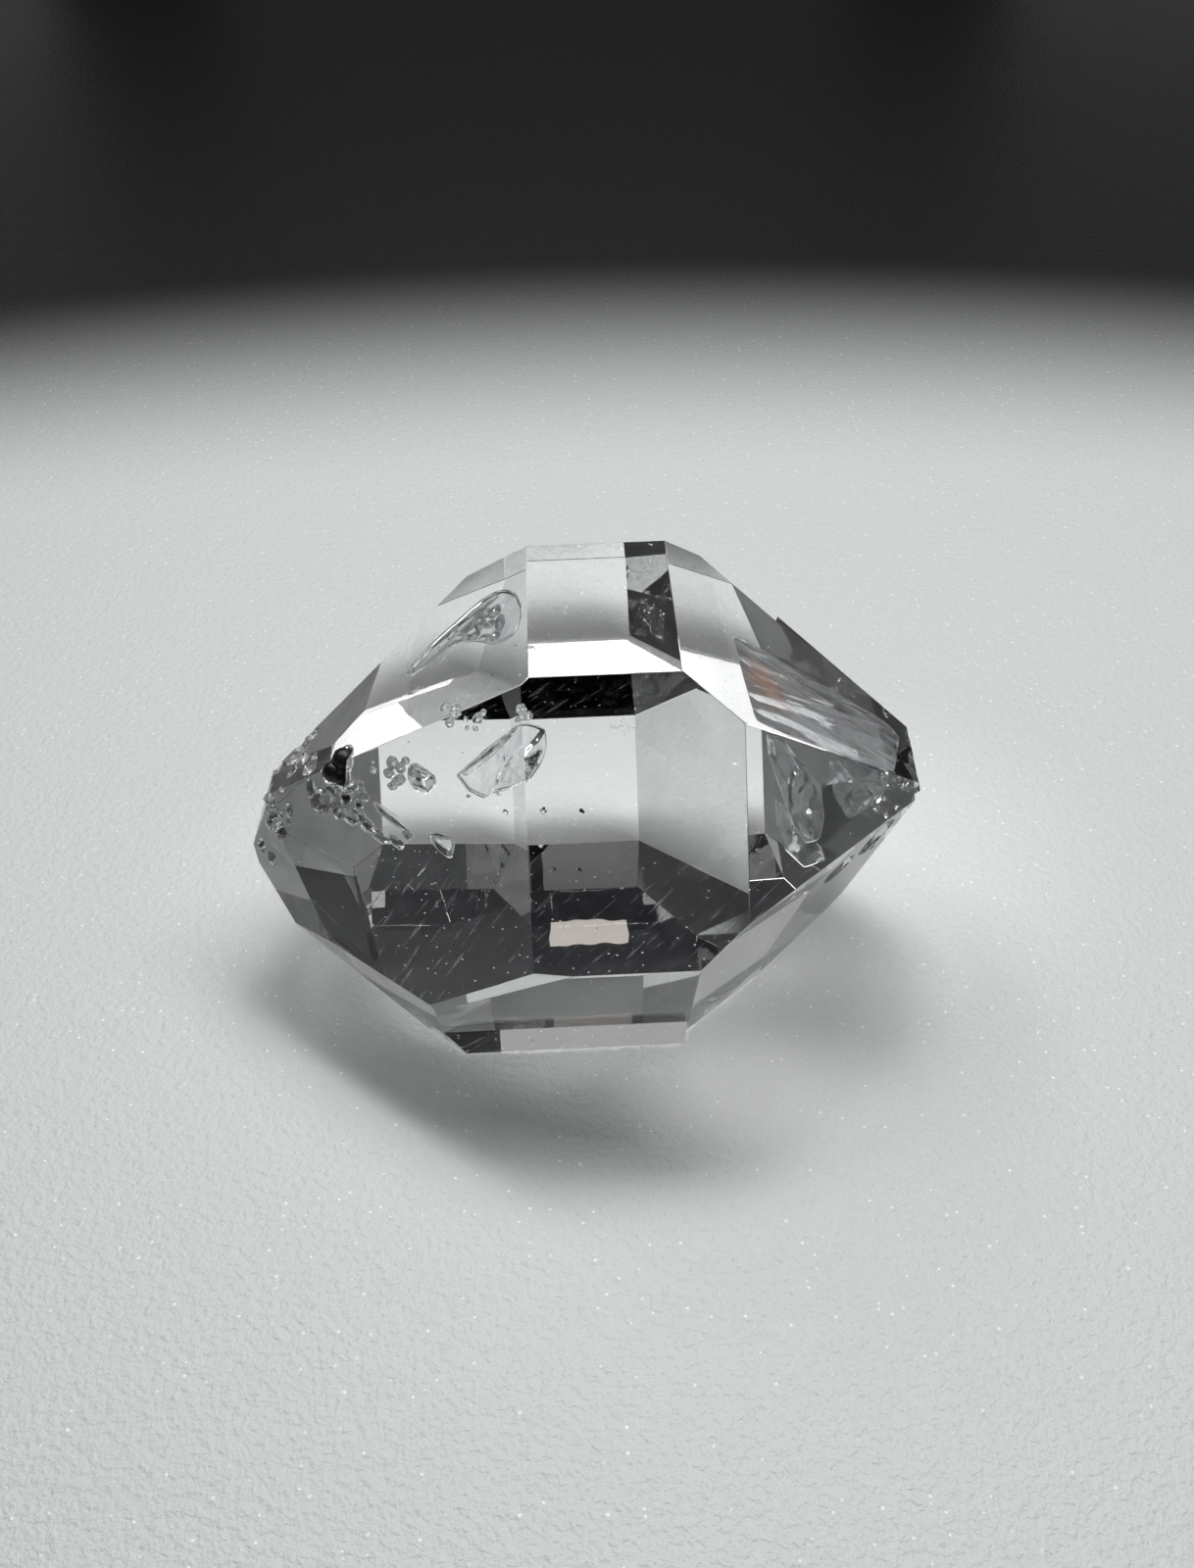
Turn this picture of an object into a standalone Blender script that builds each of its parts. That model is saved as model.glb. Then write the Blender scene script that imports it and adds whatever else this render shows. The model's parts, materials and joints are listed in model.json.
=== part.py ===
"""A double-ended clear quartz crystal of the kind called a Herkimer diamond.

The crystal lies on one of its prism faces. Its long axis runs along X, the broken tip is at +X and the
etched end is at -X. Each face is a plane square to a direction that quartz itself fixes: six prism faces
60 degrees apart round the long axis, and six sloping faces at each end. Only how far each face lies from
the axis differs from crystal to crystal, so those distances are the driving dimensions.
"""

import math
import random

import bmesh
import bpy
from mathutils import Matrix, Vector

MM = 0.001

# Bearing of each side of the crystal round its long axis, in degrees: 0 faces the viewer, 90 faces up.
SIDES = {
    "top": 90,
    "front_upper": 30,
    "front_lower": -30,
    "base": -90,
    "back_lower": -150,
    "back_upper": 150,
}
# How far the normals of the end faces lean from the long axis, in degrees.
END_LEAN = 51.8

# Distance of each face from the long axis, in millimetres.
PRISM = {
    "top": 8.95,
    "front_upper": 8.50,
    "front_lower": 9.42,
    "base": 9.65,
    "back_lower": 13.17,
    "back_upper": 8.50,
}
RIGHT_END = {
    "top": 8.79,
    "front_upper": 9.82,
    "front_lower": 9.36,
    "base": 11.59,
    "back_lower": 11.33,
    "back_upper": 9.37,
}
LEFT_END = {
    "top": 8.79,
    "front_upper": 8.62,
    "front_lower": 11.92,
    "base": 12.28,
    "back_lower": 13.80,
    "back_upper": 10.04,
}

# Breaks that took the two points off, as a direction and a distance in millimetres.
RIGHT_BREAKS = (
    ((0.97, -0.06, 0.22), 12.85),
    ((0.86, -0.34, -0.38), 11.55),
    ((0.90, 0.40, -0.15), 13.40),
    ((0.80, 0.05, -0.60), 12.00),
)
LEFT_BREAKS = (
    ((-0.935, 0.0, 0.355), 13.25),
    ((-0.781, -0.600, 0.174), 11.07),
    ((-0.90, 0.38, 0.20), 13.60),
    ((-0.86, 0.30, -0.42), 14.60),
)
# The narrow extra face along the lower front edge, at the left.
EDGE_STRIP = ((-0.099, -0.916, -0.388), 10.0)

# The growth ledge along the bottom of the front: how far it stands out, its top and its right end.
LEDGE_FRONT = 6.12
LEDGE_TOP = -8.05
LEDGE_END = 3.75
# The thin growth layer on the back of the right end: its thickness and where it starts along the crystal.
LAYER_THICK = 0.40
LAYER_START = 7.2

# The black lump in the open etched pit: its balls, and the gap to the quartz.
LUMP_BALLS = (
    ((-10.62, -0.95, 2.62), 0.50),
    ((-11.10, -1.15, 2.20), 0.44),
    ((-10.72, -1.30, 2.06), 0.42),
)
LUMP_GAP = 0.16

ROUGH_SEED = 11


def side_direction(bearing):
    angle = math.radians(bearing)
    return Vector((0.0, -math.cos(angle), math.sin(angle)))


def end_direction(bearing, way):
    lean = math.radians(END_LEAN)
    return Vector((way * math.cos(lean), 0.0, 0.0)) + math.sin(lean) * side_direction(bearing)


def crystal_faces():
    """Every plane that bounds the crystal, as a direction and a distance in millimetres."""
    faces = {}
    for name, bearing in SIDES.items():
        faces["prism_" + name] = (side_direction(bearing), PRISM[name])
        faces["right_" + name] = (end_direction(bearing, 1), RIGHT_END[name])
        faces["left_" + name] = (end_direction(bearing, -1), LEFT_END[name])
    for number, (way, distance) in enumerate(RIGHT_BREAKS):
        faces["right_break_%d" % number] = (Vector(way).normalized(), distance)
    for number, (way, distance) in enumerate(LEFT_BREAKS):
        faces["left_break_%d" % number] = (Vector(way).normalized(), distance)
    faces["edge_strip"] = (Vector(EDGE_STRIP[0]).normalized(), EDGE_STRIP[1])
    return faces


def clear_scene():
    for obj in list(bpy.data.objects):
        bpy.data.objects.remove(obj, do_unlink=True)


def new_collection(name):
    collection = bpy.data.collections.new(name)
    bpy.context.scene.collection.children.link(collection)
    return collection


def move_to(obj, collection):
    for other in list(obj.users_collection):
        other.objects.unlink(obj)
    collection.objects.link(obj)


def material(name, colour, roughness, clear=0.0, ior=1.5):
    made = bpy.data.materials.new(name)
    made.use_nodes = True
    shader = made.node_tree.nodes["Principled BSDF"]
    shader.inputs["Base Color"].default_value = (*colour, 1.0)
    shader.inputs["Roughness"].default_value = roughness
    shader.inputs["Metallic"].default_value = 0.0
    shader.inputs["Transmission Weight"].default_value = clear
    shader.inputs["IOR"].default_value = ior
    return made


def cleaved_block(name, planes, size=0.07):
    """A cube of the given size with everything outside the planes cleaved away."""
    bpy.ops.mesh.primitive_cube_add(size=size, location=(0, 0, 0))
    block = bpy.context.object
    block.name = name
    block.data.name = name
    shape = bmesh.new()
    shape.from_mesh(block.data)
    for way, distance in planes:
        everything = shape.verts[:] + shape.edges[:] + shape.faces[:]
        cut = bmesh.ops.bisect_plane(
            shape,
            geom=everything,
            dist=1e-8,
            plane_co=way * distance * MM,
            plane_no=way,
            clear_outer=True,
        )
        rim = [item for item in cut["geom_cut"] if isinstance(item, bmesh.types.BMEdge)]
        if rim:
            bmesh.ops.edgeloop_fill(shape, edges=rim)
    bmesh.ops.remove_doubles(shape, verts=shape.verts[:], dist=2e-6)
    bmesh.ops.recalc_face_normals(shape, faces=shape.faces[:])
    shape.to_mesh(block.data)
    shape.free()
    return block


def blob(name, centre, radii, turn=(0.0, 0.0, 0.0), detail=2):
    """A faceted ball stretched to three radii, in millimetres and degrees."""
    shape = bmesh.new()
    bmesh.ops.create_icosphere(shape, subdivisions=detail, radius=MM)
    place = Matrix.Translation(Vector(centre) * MM)
    for angle, axis in zip(turn, "XYZ"):
        place = place @ Matrix.Rotation(math.radians(angle), 4, axis)
    place = place @ Matrix.Diagonal((*radii, 1.0))
    bmesh.ops.transform(shape, matrix=place, verts=shape.verts[:])
    mesh = bpy.data.meshes.new(name)
    shape.to_mesh(mesh)
    shape.free()
    obj = bpy.data.objects.new(name, mesh)
    bpy.context.scene.collection.objects.link(obj)
    return obj


def as_cutter(obj, collection):
    obj.hide_render = True
    obj.display_type = "WIRE"
    move_to(obj, collection)
    return obj


def boolean(target, other, operation):
    step = target.modifiers.new(operation.lower() + "_" + other.name, "BOOLEAN")
    step.operation = operation
    step.solver = "EXACT"
    step.object = other
    return step


def growth_ledge(faces):
    """The low lip along the bottom of the front, a slice of the crystal pushed out in front of its face."""
    planes = []
    for name, (way, distance) in faces.items():
        if name in ("prism_front_lower", "edge_strip"):
            continue
        planes.append((way, distance + (0.45 if name == "right_front_lower" else -0.03)))
    planes.append((Vector((0.0, -1.0, 0.0)), LEDGE_FRONT))
    top = Vector((0.0, -0.5, 0.866)).normalized()
    planes.append((top, top.dot(Vector((0.0, -LEDGE_FRONT, LEDGE_TOP)))))
    planes.append((Vector((0.0, 1.0, 0.0)), 2.0 - LEDGE_FRONT))
    planes.append((Vector((1.0, -0.12, 0.0)).normalized(), LEDGE_END))
    return cleaved_block("growth_ledge", planes)


def growth_layer(faces):
    """The thin layer that thickens the back of the right end, bounded by a low step across it."""
    planes = []
    for name, (way, distance) in faces.items():
        planes.append((way, distance + (LAYER_THICK if name == "right_back_upper" else -0.03)))
    planes.append((Vector((-1.0, 0.25, -0.20)).normalized(), -LAYER_START))
    return cleaved_block("growth_layer", planes)


def end_at(faces, across, height, way):
    """Where a line along X at this place across and up leaves the crystal, at the right (1) or left (-1) end."""
    found = []
    for normal, distance in faces.values():
        if way * normal.x > 1e-6:
            found.append(way * (distance - normal.y * across - normal.z * height) / normal.x)
    return way * min(found)


def etched_pits(faces):
    """Pits that solution etched into the left end and its front faces: name, centre, radii, turn."""
    pits = [
        ("hollow", (-11.45, -2.85, 1.20), (1.75, 0.85, 1.25), (28, 0, -38)),
        ("round_pit", (-11.85, -1.62, 0.98), (0.62, 0.62, 0.62), (0, 0, 0)),
        ("long_pit_a", (-10.60, -2.72, 0.58), (0.85, 0.42, 0.36), (0, 8, -46)),
        ("long_pit_b", (-9.40, -3.66, 0.94), (0.80, 0.36, 0.30), (0, -6, -42)),
        ("long_pit_c", (-8.30, -4.55, 1.12), (0.62, 0.26, 0.24), (0, 10, -46)),
        ("dark_pit_a", (-12.60, 0.75, 2.10), (0.52, 0.60, 0.44), (20, 30, 10)),
        ("dark_pit_b", (-12.75, 1.75, 1.35), (0.44, 0.52, 0.50), (0, 20, 40)),
    ]
    dice = random.Random(ROUGH_SEED)
    for number in range(22):
        height = dice.uniform(-3.2, 1.7)
        across = dice.uniform(-0.8, 2.6)
        along = end_at(faces, across, height, -1)
        radius = dice.uniform(0.18, 0.46)
        radii = (radius, radius * dice.uniform(0.7, 1.3), radius * dice.uniform(0.6, 1.1))
        turn = (dice.uniform(0, 90), dice.uniform(0, 90), 0)
        pits.append(("end_pit_%02d" % number, (along - 0.05, across, height), radii, turn))
    return pits


def end_lumps():
    """Small faceted lumps of quartz grown on the etched left end: name, centre, radii, turn."""
    return [
        ("end_lump_a", (-13.85, -0.55, -0.75), (0.55, 0.42, 0.60), (10, 25, 40)),
        ("end_lump_b", (-13.62, -0.75, -1.25), (0.48, 0.40, 0.40), (40, 10, 0)),
        ("end_lump_c", (-14.10, 0.10, -0.20), (0.36, 0.50, 0.34), (0, 50, 15)),
        ("end_lump_d", (-12.95, 1.75, 0.95), (0.34, 0.40, 0.28), (25, 0, 60)),
    ]


def tip_chips(faces):
    """Shell-shaped chips along the broken right tip: name, centre, radii, turn."""
    chips = []
    places = (
        (-3.30, -0.85, (1.00, 0.50, 1.20), (12, 20, 30)),
        (-4.50, -1.55, (0.90, 0.45, 0.90), (0, 10, 40)),
        (-1.10, 0.95, (0.50, 1.10, 0.42), (0, 35, 10)),
        (0.90, 0.75, (0.45, 0.80, 0.36), (10, 30, 0)),
        (-0.20, -1.90, (0.60, 1.30, 0.70), (0, -20, 20)),
    )
    for number, (across, height, radii, turn) in enumerate(places):
        along = end_at(faces, across, height, 1)
        chips.append(("tip_chip_%d" % number, (along + 0.18, across, height), radii, turn))
    return chips


def main():
    clear_scene()
    parts = new_collection("herkimer_diamond_quartz")
    helpers = new_collection("cutters")

    holder = bpy.data.objects.new("herkimer_diamond", None)
    parts.objects.link(holder)

    quartz = material("clear_quartz", (0.97, 0.98, 0.98), 0.03, clear=1.0, ior=1.544)
    carbon = material("black_carbon", (0.015, 0.014, 0.013), 0.42)

    faces = crystal_faces()
    crystal = cleaved_block("crystal", list(faces.values()))
    crystal.data.materials.append(quartz)
    move_to(crystal, parts)

    boolean(crystal, as_cutter(growth_ledge(faces), helpers), "UNION")
    boolean(crystal, as_cutter(growth_layer(faces), helpers), "UNION")
    for name, centre, radii, turn in end_lumps():
        boolean(crystal, as_cutter(blob(name, centre, radii, turn, detail=1), helpers), "UNION")
    for name, centre, radii, turn in etched_pits(faces):
        boolean(crystal, as_cutter(blob(name, centre, radii, turn), helpers), "DIFFERENCE")
    for name, centre, radii, turn in tip_chips(faces):
        boolean(crystal, as_cutter(blob(name, centre, radii, turn), helpers), "DIFFERENCE")

    # The black lump is three fused balls. Its pit is the same balls grown by the gap, open to the face.
    mouth = end_direction(SIDES["top"], -1)
    lump = None
    for number, (centre, radius) in enumerate(LUMP_BALLS):
        turn = (17 * number, 20 * number, 11 * number)
        grown = (radius + LUMP_GAP,) * 3
        well = blob("lump_pit_%d" % number, centre, grown, turn)
        boolean(crystal, as_cutter(well, helpers), "DIFFERENCE")
        opening = blob("lump_mouth_%d" % number, Vector(centre) + mouth * 0.45, grown, turn)
        boolean(crystal, as_cutter(opening, helpers), "DIFFERENCE")
        ball = blob("carbon_inclusion" if lump is None else "lump_ball_%d" % number, centre, (radius,) * 3, turn)
        if lump is None:
            lump = ball
            lump.data.materials.append(carbon)
            move_to(lump, parts)
        else:
            boolean(lump, as_cutter(ball, helpers), "UNION")

    for obj in (crystal, lump):
        obj.parent = holder

    # Stand the finished crystal on z = 0 with its box centred on the origin.
    bpy.context.view_layer.update()
    solid = crystal.evaluated_get(bpy.context.evaluated_depsgraph_get())
    corners = [Vector(corner) for corner in solid.bound_box]
    low = Vector([min(corner[i] for corner in corners) for i in range(3)])
    high = Vector([max(corner[i] for corner in corners) for i in range(3)])
    shift = Vector((-(low.x + high.x) / 2, -(low.y + high.y) / 2, -low.z))
    for obj in list(helpers.objects) + [holder]:
        obj.location = obj.location + shift


main()
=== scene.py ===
"""Herkimer diamond quartz: the looks of a clear double-ended crystal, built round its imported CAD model.

The crystal lies on a prism face with its long axis along X: the etched end is at -X and the broken tip at +X.
Shapes in the tables are in millimetres of the crystal's own frame, whose origin is on its long axis. TO_MODEL
takes them to metres of the model's frame, which stands on z = 0.
"""

import json
import math
import random

import bmesh
import bpy
from bpy.props import FloatProperty, FloatVectorProperty, IntProperty, PointerProperty
from mathutils import Matrix, Vector, noise

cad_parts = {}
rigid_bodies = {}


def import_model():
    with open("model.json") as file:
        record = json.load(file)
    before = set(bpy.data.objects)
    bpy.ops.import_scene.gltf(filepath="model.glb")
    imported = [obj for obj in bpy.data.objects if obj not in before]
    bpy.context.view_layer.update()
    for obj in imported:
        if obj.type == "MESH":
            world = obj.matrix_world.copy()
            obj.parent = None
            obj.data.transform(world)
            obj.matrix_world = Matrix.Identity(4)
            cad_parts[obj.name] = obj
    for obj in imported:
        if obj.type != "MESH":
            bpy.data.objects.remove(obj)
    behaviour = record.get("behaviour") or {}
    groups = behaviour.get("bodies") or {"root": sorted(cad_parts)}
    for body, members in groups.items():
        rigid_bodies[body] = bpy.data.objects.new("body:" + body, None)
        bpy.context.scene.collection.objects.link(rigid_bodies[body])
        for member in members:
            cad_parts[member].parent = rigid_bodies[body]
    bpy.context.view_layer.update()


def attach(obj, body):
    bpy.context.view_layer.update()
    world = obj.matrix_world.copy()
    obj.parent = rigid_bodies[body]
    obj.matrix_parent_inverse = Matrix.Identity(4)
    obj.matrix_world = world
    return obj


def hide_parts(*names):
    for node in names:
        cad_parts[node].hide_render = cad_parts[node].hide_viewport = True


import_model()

bl_info = {
    "name": "Herkimer diamond quartz",
    "version": (1, 0, 0),
    "blender": (4, 5, 0),
    "location": "View3D > Sidebar > Quartz",
    "description": "Builds a clear double-ended quartz crystal with its inclusions, on a pale floor",
    "category": "Object",
}

MM = 0.001
TO_MODEL = Matrix.Scale(MM, 4) @ Matrix.Translation((0.8383, -1.0825, 9.65))

# Bearing of each side round the long axis, in degrees: 0 faces the viewer, 90 faces up.
SIDES = {
    "top": 90,
    "front_upper": 30,
    "front_lower": -30,
    "base": -90,
    "back_lower": -150,
    "back_upper": 150,
}
# How far the end faces lean out from the long axis, in degrees.
END_LEAN = 51.8
# How far each face lies from the crystal's origin.
PRISM = {
    "top": 8.95,
    "front_upper": 8.50,
    "front_lower": 9.42,
    "base": 9.65,
    "back_lower": 13.17,
    "back_upper": 8.50,
}
RIGHT_END = {
    "top": 8.79,
    "front_upper": 9.82,
    "front_lower": 9.36,
    "base": 11.59,
    "back_lower": 11.33,
    "back_upper": 9.37,
}
LEFT_END = {
    "top": 8.79,
    "front_upper": 8.62,
    "front_lower": 11.92,
    "base": 12.28,
    "back_lower": 13.80,
    "back_upper": 10.04,
}
# The broken and etched planes of the two ends: a direction and a distance.
BREAKS = (
    ((0.97, -0.06, 0.22), 12.85),
    ((0.86, -0.34, -0.38), 11.55),
    ((0.90, 0.40, -0.15), 13.40),
    ((0.80, 0.05, -0.60), 12.00),
    ((-0.935, 0.0, 0.355), 13.25),
    ((-0.781, -0.600, 0.174), 11.07),
    ((-0.90, 0.38, 0.20), 13.60),
    ((-0.86, 0.30, -0.42), 14.60),
)
# The narrow strip along the front lower edge.
EDGE_STRIP = ((-0.099, -0.916, -0.388), 10.0)
# The growth ledge along the foot of the front: how far out, high and deep it is, how far it stands proud of
# the right end, and the ways that its top and its right end face.
LEDGE_FRONT = 6.12
LEDGE_TOP = -8.05
LEDGE_DEEP = 2.0
LEDGE_PROUD = 0.45
LEDGE_SLOPE = (0.0, -0.5, 0.866)
LEDGE_END = 3.75
LEDGE_END_WAY = (1.0, -0.12, 0.0)
# The growth layer at the back of the right end: its thickness, where it starts, and the way its start faces.
LAYER_THICK = 0.40
LAYER_START = 7.2
LAYER_WAY = (-1.0, 0.25, -0.20)
# How far the ledge and the layer are sunk below the faces that they share with the crystal.
SUNK = 0.03
# The cube that the blocks are cleaved from, and how near corners are merged.
ROUGH_CUBE = 70.0
MERGED = 2e-3

# The crystal's material slots.
FACES, INSIDE, ETCHED, CRACKED, BROKEN, HAZY, DULL = range(7)
# The hidden faces that are hazy from etching, and their slots.
HAZED = {"left_back_lower": HAZY, "right_back_lower": DULL}

# The quartz's finishes, in metres of the model's frame. The dust of the base fades out between these heights.
BASE_HEIGHT = (0.00002, 0.00008)
DUST_COLOUR = (0.80, 0.82, 0.88, 1.0)
SCRATCH_TURN = (0.0, 0.0, math.radians(52))
SCRATCH_SIZE = (0.0035, 0.0003, 1.0)
HAZE_COLOUR = (0.80, 0.81, 0.81, 1.0)
FROST_COLOUR = (0.86, 0.88, 0.90, 1.0)
STREAK_TURN = (0.0, 0.75, -0.15)
STREAK_SIZE = (0.006, 0.0011, 0.0011)
# Where the inner crack shows a warm colour, and from where to where that fades.
WARM_SPOT = (0.0072, -0.0024, 0.0152)
WARM_REACH = (0.0005, 0.0019)
WARM_COLOUR = (0.80, 0.42, 0.26, 1.0)
CLEAR = (1.0, 1.0, 1.0, 1.0)

# The camera, as the photograph gives it: lengths in millimetres, angles in degrees.
VIEW_DISTANCE = 70.4
VIEW_ELEVATION = 39.0132
VIEW_ROLL = -1.5895
VIEW_YAW = -1.3736
VIEW_TARGET = (0.5148, -1.0747, 9.65)
VIEW_LENS = 38.25

# The soft lights: name, how high each stands, its bearing from straight behind, and its share of the power.
LIGHTS = (
    ("light_behind", 70, 0, 0.140),
    ("light_behind_right", 70, 30, 0.072),
    ("light_right_above", 70, 60, 0.080),
    ("light_right", 62, 90, 0.075),
    ("light_back_left", 50, -30, 0.038),
    ("light_left", 62, -60, 0.060),
)
# The small warm lamp whose reflection shows low in the front face.
LAMP_PLACE = (2.0, 154.0, 146.0)
LAMP_AIM = (0.0, 10.5, 6.7)
LAMP_SIZE = (13.0, 4.0)
LAMP_SHARE = 0.00008
LAMP_COLOUR = (1.0, 0.93, 0.84)
# Dim cards that the lower faces mirror: name, place, size and share of the power.
CARDS = (
    ("card_behind", (0.0, 182.0, 86.0), (110.0, 30.0), 0.0036),
    ("card_horizon", (0.0, 200.0, 14.0), (90.0, 20.0), 0.0004),
    ("card_horizon_left", (-120.0, 160.0, 14.0), (130.0, 20.0), 0.0024),
    ("card_horizon_right", (120.0, 160.0, 14.0), (130.0, 20.0), 0.0020),
    ("card_front", (0.0, -186.0, 72.0), (90.0, 44.0), 0.0011),
)
LIGHT_DISTANCE = 200.0
LIGHT_SIZE = (60.0, 60.0)
LIGHT_AIM = (0.0, 0.0, 5.0)
ROOM_COLOUR = (0.012, 0.012, 0.014, 1.0)

# The floor, in metres: the air between it and the crystal, how far it reaches, and where it darkens outside
# the picture, behind the crystal and in front of it.
FLOOR_GAP = 0.00004
FLOOR_REACH = 0.6
FLOOR_BACK = (0.043, 0.082)
FLOOR_FRONT = (-0.115, -0.075)
FLOOR_DARK = (0.012, 0.012, 0.012, 1.0)
# Colour of the painted glints: white specks mixed into the floor's colour.
PAINTED_GLINT_COLOUR = (0.98, 0.98, 0.98, 1.0)
# Painted light: an emission glow on the floor that stands in for the light the crystal gathers there: middle,
# radii, where it starts to fade, and strength.
PAINTED_FLOOR_GLOW = (
    ((0.0030, 0.0050), (0.0260, 0.0170), 0.35, 0.12),
    ((0.0065, -0.0100), (0.0070, 0.0048), 0.10, 0.17),
)

# Small clear lumps on the etched end. A shape is a centre, three radii, turns in degrees and a roughness.
END_LUMPS = (
    ((-13.85, -0.55, -0.75), (0.55, 0.42, 0.60), (10, 25, 40), 0.10),
    ((-13.62, -0.75, -1.25), (0.48, 0.40, 0.40), (40, 10, 0), 0.10),
    ((-14.10, 0.10, -0.20), (0.36, 0.50, 0.34), (0, 50, 15), 0.10),
    ((-12.95, 1.75, 0.95), (0.34, 0.40, 0.28), (25, 0, 60), 0.10),
)
# The open pits that solution etched into the left end.
PITS = (
    ((-11.85, -1.58, 0.98), (0.62, 0.62, 0.62), (0, 0, 0), 0.04),
    ((-11.20, -1.90, 1.25), (0.50, 0.36, 0.34), (20, 0, -38), 0.22),
    ((-10.95, -2.20, 0.88), (0.34, 0.30, 0.34), (0, 20, 10), 0.25),
    ((-10.48, -2.60, 0.93), (0.46, 0.30, 0.28), (10, 10, -40), 0.25),
    ((-10.56, -2.12, 1.60), (0.34, 0.28, 0.26), (30, 0, 20), 0.30),
    ((-10.04, -2.84, 1.21), (0.40, 0.32, 0.32), (0, 30, -46), 0.28),
    ((-10.02, -2.66, 1.62), (0.24, 0.20, 0.22), (0, 30, -46), 0.28),
    ((-9.70, -3.20, 0.98), (0.44, 0.28, 0.28), (0, 8, -46), 0.25),
    ((-9.15, -3.84, 0.88), (0.50, 0.24, 0.26), (0, -6, -42), 0.22),
    ((-8.46, -4.36, 1.02), (0.46, 0.22, 0.22), (0, 10, -46), 0.22),
    ((-8.64, -3.74, 1.80), (1.10, 0.17, 0.24), (0, 6, -50), 0.10),
    ((-7.96, -4.50, 1.50), (0.26, 0.20, 0.24), (0, 0, -40), 0.25),
    ((-10.31, -2.06, 2.09), (0.32, 0.26, 0.26), (0, 0, 0), 0.30),
    ((-9.92, -2.34, 2.30), (0.28, 0.24, 0.26), (0, 40, 0), 0.30),
    ((-9.74, -2.62, 2.02), (0.26, 0.22, 0.22), (60, 0, 0), 0.28),
    ((-10.80, -1.70, 1.94), (0.34, 0.26, 0.28), (0, 0, 30), 0.30),
    ((-11.20, -1.50, 1.55), (0.26, 0.24, 0.22), (0, 0, 30), 0.30),
    ((-12.95, 1.70, 1.05), (0.50, 0.58, 0.50), (20, 30, 10), 0.42),
    ((-12.90, 2.30, 1.00), (0.30, 0.36, 0.30), (20, 0, 10), 0.40),
    ((-12.60, 0.95, 1.45), (0.30, 0.36, 0.30), (20, 30, 10), 0.35),
    ((-12.12, 0.66, 1.72), (0.20, 0.20, 0.20), (0, 0, 0), 0.05),
    ((-13.30, 2.70, 0.70), (0.30, 0.36, 0.30), (0, 20, 40), 0.38),
)
# Small pits strewn over the left end: how many, where across and up, their radii and roughness, and how far
# their middles stand out of the face.
END_PITS = 26
END_ACROSS = (-1.0, 2.8)
END_HEIGHT = (-3.0, 1.6)
PIT_RADII = (0.16, 0.42)
PIT_ROUGH = 0.28
PIT_PROUD = 0.05
# The shell-shaped chips along the broken right tip: a place across and up, radii, turns and roughness.
TIP_CHIPS = (
    (-3.30, -0.85, (1.00, 0.50, 1.20), (12, 20, 30), 0.10),
    (-4.50, -1.55, (0.90, 0.45, 0.90), (0, 10, 40), 0.10),
    (-1.10, 0.95, (0.50, 1.10, 0.42), (0, 35, 10), 0.10),
    (0.90, 0.75, (0.45, 0.80, 0.36), (10, 30, 0), 0.10),
    (-0.20, -1.90, (0.60, 1.30, 0.70), (0, -20, 20), 0.10),
)
TIP_CHIP_PROUD = 0.18
# Small chips strewn over the right tip, as the pits are over the left end.
SMALL_CHIPS = 16
CHIP_ACROSS = (-4.6, 2.6)
CHIP_HEIGHT = (-2.6, 1.0)
CHIP_RADII = (0.20, 0.50)
CHIP_ROUGH = 0.16
CHIP_FACETS = 5
SMALL_CHIP_PROUD = 0.06
# The black lump in its open pit: its balls, the gap round it, and how the pit widens towards its mouth.
LUMP_BALLS = (
    ((-10.62, -0.95, 2.62), 0.50),
    ((-11.10, -1.15, 2.20), 0.44),
    ((-10.72, -1.30, 2.06), 0.42),
)
LUMP_GAP = 0.16
MOUTH_STEPS = (0.40, 0.85)
MOUTH_FLARE = 0.12
# The black specks: centre and radius.
SPECKS = (
    ((-10.56, -2.16, 1.60), 0.17),
    ((-10.03, -2.64, 1.60), 0.10),
    ((-1.10, -6.77, 4.29), 0.09),
    ((-1.03, -6.72, 4.18), 0.06),
    ((-4.03, -2.36, 7.20), 0.045),
    ((-3.71, -3.74, 7.43), 0.03),
    ((-5.25, -3.56, 4.80), 0.03),
    ((-2.50, -6.60, 4.35), 0.06),
)
# A drift of fine black dust under the front face: the line it lies along, its spread and the grains' radii.
DUST_DRIFT = ((0.10, -5.20, 7.15), (0.95, -5.35, 6.85))
DUST_SPREAD = (0.45, 0.16, 0.22)
DUST_SIZES = (0.010, 0.026)

# How deep the flat facets of a lump cut, as a share of its radius, and how fine its roughness is.
FACET_DEPTH = (0.66, 0.88)
LUMP_GRAIN = 2.2
# Cavities at least this rough have etched walls.
ETCHED_FROM = 0.3
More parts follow.
